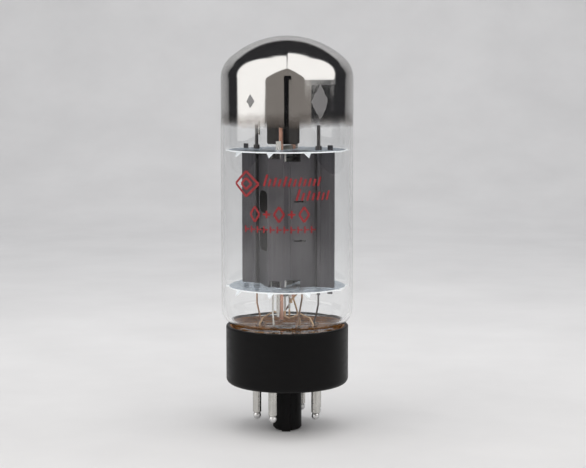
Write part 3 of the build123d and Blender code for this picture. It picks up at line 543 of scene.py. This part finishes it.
# Painted shade darkens the beam plates' faces and the screen grid rods inside the cage.
SHADED_PLATE = beam_sheet("nickel_plate_shaded", NICKEL_DARK, NICKEL_LIGHT)
SHADED_ROD = drawn_metal(
    "nickel_rod_shaded", NICKEL_DARK, NICKEL_LIGHT, NICKEL_ROUGHNESS, shade_heights=CAGE_SHADE_HEIGHTS
)
SPECIAL_FINISHES = {
    "heater_lead_front": GOLD_WIRE,
    "heater_lead_rear": GOLD_WIRE,
    "screen_grid_lead": GOLD_WIRE,
    "cathode_lead": GOLD_WIRE,
    "control_grid_lead": COPPER_WIRE,
    "stem_support_wires": COPPER_WIRE,
    "beam_plate_front": SHADED_PLATE,
    "beam_plate_rear": SHADED_PLATE,
    "screen_grid_rods": SHADED_ROD,
}

node_slots = {row["node"]: row["material_slot"] for row in frame["record"]["subparts"]}
for node, piece in frame["nodes"].items():
    finish = SPECIAL_FINISHES.get(node, MATERIALS[node_slots[node]])
    piece.data.materials.clear()
    piece.data.materials.append(finish)


# ================================================================ mesh helpers
def make_piece(name, build, material, stands_for=None):
    """Turns a bmesh (millimetres) into a piece that rides on the tube."""
    mesh = bpy.data.meshes.new(name)
    bmesh.ops.scale(build, vec=(MM, MM, MM), verts=build.verts)
    bmesh.ops.recalc_face_normals(build, faces=build.faces)
    build.to_mesh(mesh)
    build.free()
    mesh.materials.append(material)
    mesh.shade_smooth()
    mesh.set_sharp_from_angle(angle=radians(35))
    piece = bpy.data.objects.new(name, mesh)
    bpy.context.scene.collection.objects.link(piece)
    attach(piece, "root")
    if stands_for:
        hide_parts(stands_for)


def lathe(outline):
    """Closed bmesh turned about Z from a closed outline of (radius, height) points."""
    build = bmesh.new()
    rings = []
    for radius, height in outline:
        if radius == 0:
            rings.append([build.verts.new((0, 0, height))])
            continue
        ring = []
        for step in range(LATHE_STEPS):
            angle = 2 * pi * step / LATHE_STEPS
            ring.append(build.verts.new((radius * cos(angle), radius * sin(angle), height)))
        rings.append(ring)
    for lower, upper in zip(rings, rings[1:] + rings[:1]):
        if len(lower) == 1 and len(upper) == 1:
            continue
        for step in range(LATHE_STEPS):
            after = (step + 1) % LATHE_STEPS
            corners = [lower[step % len(lower)], lower[after % len(lower)]]
            corners += [upper[after % len(upper)], upper[step % len(upper)]]
            build.faces.new(list(dict.fromkeys(corners)))
    return build


def arc(centre, radius, start, end, count):
    """Points of an arc in (radius, height), from start to end degrees."""
    across, height = centre
    points = []
    for index in range(count + 1):
        angle = radians(start + (end - start) * index / count)
        points.append((across + radius * cos(angle), height + radius * sin(angle)))
    return points


def dome_outline(inset, bottom):
    """The bulb's side and dome, moved in by inset, from the bottom up to the pole."""
    reach = BULB_RADIUS - SHOULDER_RADIUS
    rise = BULB_TOP - SHOULDER_HEIGHT
    crown = (reach**2 + rise**2 - SHOULDER_RADIUS**2) / (2 * (rise - SHOULDER_RADIUS))
    crown_height = BULB_TOP - crown
    join = degrees(atan2(SHOULDER_HEIGHT - crown_height, reach))
    side_steps = 24
    shoulder_steps = 20
    crown_steps = 28
    side = []
    for index in range(side_steps):
        height = bottom + (SHOULDER_HEIGHT - bottom) * index / side_steps
        side.append((BULB_RADIUS - inset, height))
    shoulder = arc((reach, SHOULDER_HEIGHT), SHOULDER_RADIUS - inset, 0, join, shoulder_steps)
    top = arc((0, crown_height), crown - inset, join, 90, crown_steps)
    top[-1] = (0, crown_height + crown - inset)  # the pole lies exactly on the axis
    return side + shoulder + top[1:]


def heel_outline(inset):
    """The neck and the heel of the bulb, from the bottom up to the side."""
    reach = BULB_RADIUS - HEEL_RADIUS
    turn = degrees(acos((NECK_RADIUS - reach) / HEEL_RADIUS))
    heel_steps = 16
    heel = arc((reach, HEEL_HEIGHT), HEEL_RADIUS - inset, -turn, 0, heel_steps)
    return [(NECK_RADIUS - inset, NECK_BOTTOM), *heel[:-1]]


# ================================================================ glass bulb and getter film
outside = heel_outline(0) + dome_outline(0, HEEL_HEIGHT)
inside = heel_outline(BULB_WALL) + dome_outline(BULB_WALL, HEEL_HEIGHT)
make_piece(
    "bulb",
    lathe(outside + inside[::-1]),
    MATERIALS["glass"],
    "glass_bulb",
)

film_outside = dome_outline(FILM_INSET, FILM_BOTTOM)
film_inside = dome_outline(FILM_INSET + FILM_THICKNESS, FILM_BOTTOM)
make_piece(
    "getter_film",
    lathe(film_outside + film_inside[::-1]),
    MATERIALS["getter_film"],
    "getter_flash",
)


# ================================================================ printed mark
def on_glass(across, height, radius):
    """A point of the print: across is the arc length to the right of the view's centre."""
    angle = radians(VIEW_ANGLE) + across / BULB_RADIUS
    return (radius * cos(angle), radius * sin(angle), height)


def ribbon(build, start, end, width):
    """A straight stroke of ink between two (across, height) points, wrapped on the glass."""
    along = Vector(end) - Vector(start)
    side = Vector((-along.y, along.x)).normalized() * width / 2
    step = 0.4  # long strokes bend with the glass
    count = max(1, round(along.length / step))
    sections = []
    for index in range(count + 1):
        centre = Vector(start) + along * index / count
        corners = [
            (centre + side, PRINT_OUTER),
            (centre - side, PRINT_OUTER),
            (centre - side, PRINT_INNER),
            (centre + side, PRINT_INNER),
        ]
        sections.append([build.verts.new(on_glass(p.x, p.y, radius)) for p, radius in corners])
    for near, far in zip(sections, sections[1:]):
        for corner in range(4):
            after = (corner + 1) % 4
            build.faces.new((near[corner], near[after], far[after], far[corner]))
    build.faces.new(sections[0][::-1])
    build.faces.new(sections[-1])


def stroke(build, points, width):
    """A chain of straight strokes through the points."""
    for start, end in zip(points, points[1:]):
        ribbon(build, start, end, width)


def arc_length(angle):
    """How far around the glass an angle in degrees reaches."""
    return radians(angle) * BULB_RADIUS


def lozenge(build, centre, half_size, width):
    """An outlined lozenge; its centre is an (across, height) point."""
    across, height = centre
    half_width, half_height = half_size
    left_corner = (across - half_width, height)
    top_corner = (across, height + half_height)
    right_corner = (across + half_width, height)
    bottom_corner = (across, height - half_height)
    stroke(build, [left_corner, top_corner, right_corner, bottom_corner, left_corner], width)


def cross(build, centre, reach):
    """An upright cross of two strokes."""
    across, height = centre
    stroke(build, [(across, height - reach), (across, height + reach)], TYPE_LINE)
    stroke(build, [(across - reach, height), (across + reach, height)], TYPE_THIN_LINE)


def print_emblem(build):
    """A lozenge within a lozenge."""
    angle, height = EMBLEM_PLACE
    for half_size in EMBLEM_LOZENGES:
        lozenge(build, (arc_length(angle), height), half_size, EMBLEM_LINE)


def print_bars(build):
    """Two rows of leaning bars."""
    for first, last, low, rises in BAR_ROWS:
        for index, rise in enumerate(rises):
            foot = arc_length(first + (last - first) * index / len(rises))
            stroke(build, [(foot, low), (foot + BAR_LEAN * rise, low + rise)], BAR_LINE)


def print_type_row(build):
    """Open lozenges with a cross between each two."""
    first, height = TYPE_START
    for index in range(TYPE_COUNT):
        centre = (arc_length(first + TYPE_PITCH * index), height)
        if index % 2:
            cross(build, centre, TYPE_CROSS)
        else:
            lozenge(build, centre, TYPE_LOZENGE, TYPE_LINE)


def print_rule(build):
    """A row of ticks, each with a dash to its right."""
    first, height = RULE_START
    for index in range(RULE_COUNT):
        left = arc_length(first + RULE_PITCH * index)
        stroke(build, [(left, height - RULE_TICK), (left, height + RULE_TICK)], RULE_LINE)
        stroke(build, [(left, height), (left + RULE_DASH, height)], RULE_THIN_LINE)


ink = bmesh.new()
print_emblem(ink)
print_bars(ink)
print_type_row(ink)
print_rule(ink)
make_piece("printed_mark", ink, red_ink("ink_red"))


# ================================================================ studio
def studio_surface(name, shade, light):
    """Plain painted surface with a barely visible mottle."""
    s = Shader(name)
    mottle = s.noise((0.02, 0.02, 0.02), detail=5)
    s.set(Base_Color=s.mix(s.levels(mottle, 0.3, 0.7), shade, light), Roughness=0.75)
    s.bump(s.noise((0.8, 0.8, 0.8), detail=4), 0.05, 0.15)
    return s.material


def view_point(toward, right, height):
    """A point given by its distance toward the camera, to the right, and its height."""
    angle = radians(VIEW_ANGLE)
    x = toward * cos(angle) - right * sin(angle)
    y = toward * sin(angle) + right * cos(angle)
    return Vector((x, y, height))


def stage_mesh(name, vertices, faces, material):
    """A mesh of the studio, which isn't part of the object."""
    mesh = bpy.data.meshes.new(name)
    mesh.from_pydata(vertices, [], faces)
    mesh.materials.append(material)
    mesh.shade_smooth()
    piece = bpy.data.objects.new(name, mesh)
    bpy.context.scene.collection.objects.link(piece)
    return piece


def sweep_backdrop():
    """Pale floor that curves up into a wall behind the tube."""
    bend_start = WALL_PLACE + WALL_BEND
    bend_steps = 16
    line = [(FLOOR_FRONT, 0.0), (0.6, 0.0), (bend_start, 0.0)]
    for index in range(1, bend_steps + 1):
        angle = pi / 2 * index / bend_steps
        toward = bend_start - WALL_BEND * sin(angle)
        line.append((toward, WALL_BEND - WALL_BEND * cos(angle)))
    line.append((WALL_PLACE, WALL_HEIGHT))
    vertices = []
    for toward, height in line:
        for right in (-WALL_HALF_WIDTH, WALL_HALF_WIDTH):
            vertices.append(view_point(toward, right, FLOOR_HEIGHT + height))
    faces = [(2 * i, 2 * i + 1, 2 * i + 3, 2 * i + 2) for i in range(len(line) - 1)]
    paint = studio_surface("backdrop_paint", (0.72, 0.72, 0.73), (0.78, 0.78, 0.79))
    stage_mesh("backdrop", vertices, faces, paint)


def glow(name, tone, strength):
    """Light-giving surface."""
    material = bpy.data.materials.new(name)
    material.use_nodes = True
    tree = material.node_tree
    tree.nodes.clear()
    emission = tree.nodes.new("ShaderNodeEmission")
    emission.inputs["Color"].default_value = colour(tone)
    emission.inputs["Strength"].default_value = strength
    output = tree.nodes.new("ShaderNodeOutputMaterial")
    tree.links.new(emission.outputs[0], output.inputs["Surface"])
    return material


def panel(name, corners, material):
    """Flat panel; its corners are (toward, right, height above the camera's height)."""
    vertices = [
        view_point(toward, right, CAMERA_HEIGHT + rise) for toward, right, rise in corners
    ]
    return stage_mesh(name, vertices, [(0, 1, 2, 3)], material)


def upright_card(name, card, material):
    """Upright panel between a foot and a head, each a (rise, left end, right end)."""
    toward, (foot, foot_left, foot_right), (head, head_left, head_right) = card
    corners = [
        (toward, foot_left, foot),
        (toward, foot_right, foot),
        (toward, head_right, head),
        (toward, head_left, head),
    ]
    return panel(name, corners, material)


def hang_softboxes():
    """Two softboxes lean together over the tube like a tent that is open toward the camera."""
    soft_white = glow("softbox_white", (1.0, 0.985, 0.965), 1.5)
    panel("softbox_left", LEFT_SOFTBOX, soft_white)
    panel("softbox_right", RIGHT_SOFTBOX, soft_white)


def furnish_room():
    """The room beyond the tent's opening, and the camera on its stand, for the mirror to show."""
    upright_card("room_wall", ROOM_CARD, glow("room_wall", (0.30, 0.275, 0.255), 1.0))
    camera_black = glow("camera_black", (0.012, 0.012, 0.013), 1.0)
    for name, card in (("camera_body", CAMERA_BODY_CARD), ("camera_stand", CAMERA_STAND_CARD)):
        shade = upright_card(name, card, camera_black)
        shade.visible_diffuse = False
        shade.visible_shadow = False


def wash_wall():
    """A wash of light for the floor and the wall, which the tube's surfaces do not mirror."""
    lamp = bpy.data.lights.new("wall_wash", "AREA")
    lamp.shape = "RECTANGLE"
    lamp.size = WASH_WIDTH
    lamp.size_y = WASH_DEPTH
    lamp.energy = WASH_POWER
    wash = bpy.data.objects.new("wall_wash", lamp)
    wash.location = view_point(*WASH_PLACE)
    wash.rotation_euler = Euler((radians(WASH_TILT), 0, radians(VIEW_ANGLE + 90)))
    wash.visible_glossy = False
    wash.visible_transmission = False
    wash.visible_camera = False
    bpy.context.scene.collection.objects.link(wash)


def dim_world():
    """Near darkness around the studio."""
    world = bpy.data.worlds.new("studio")
    world.use_nodes = True
    background = world.node_tree.nodes["Background"]
    background.inputs["Color"].default_value = (0.035, 0.035, 0.038, 1)
    background.inputs["Strength"].default_value = 1.0
    bpy.context.scene.world = world


def place_camera():
    """The camera looks a little down at the tube, from the front."""
    camera_data = bpy.data.cameras.new("camera")
    camera_data.lens = CAMERA_LENS
    camera_data.sensor_width = CAMERA_SENSOR
    camera_data.clip_start = 0.01
    camera = bpy.data.objects.new("camera", camera_data)
    camera.location = view_point(CAMERA_DISTANCE, CAMERA_SHIFT, CAMERA_HEIGHT)
    camera.rotation_euler = Euler((radians(90 + CAMERA_PITCH), 0, radians(VIEW_ANGLE + 90)))
    bpy.context.scene.collection.objects.link(camera)
    bpy.context.scene.camera = camera


sweep_backdrop()
hang_softboxes()
furnish_room()
wash_wall()
dim_world()
place_camera()
bpy.context.scene.view_settings.view_transform = "Standard"
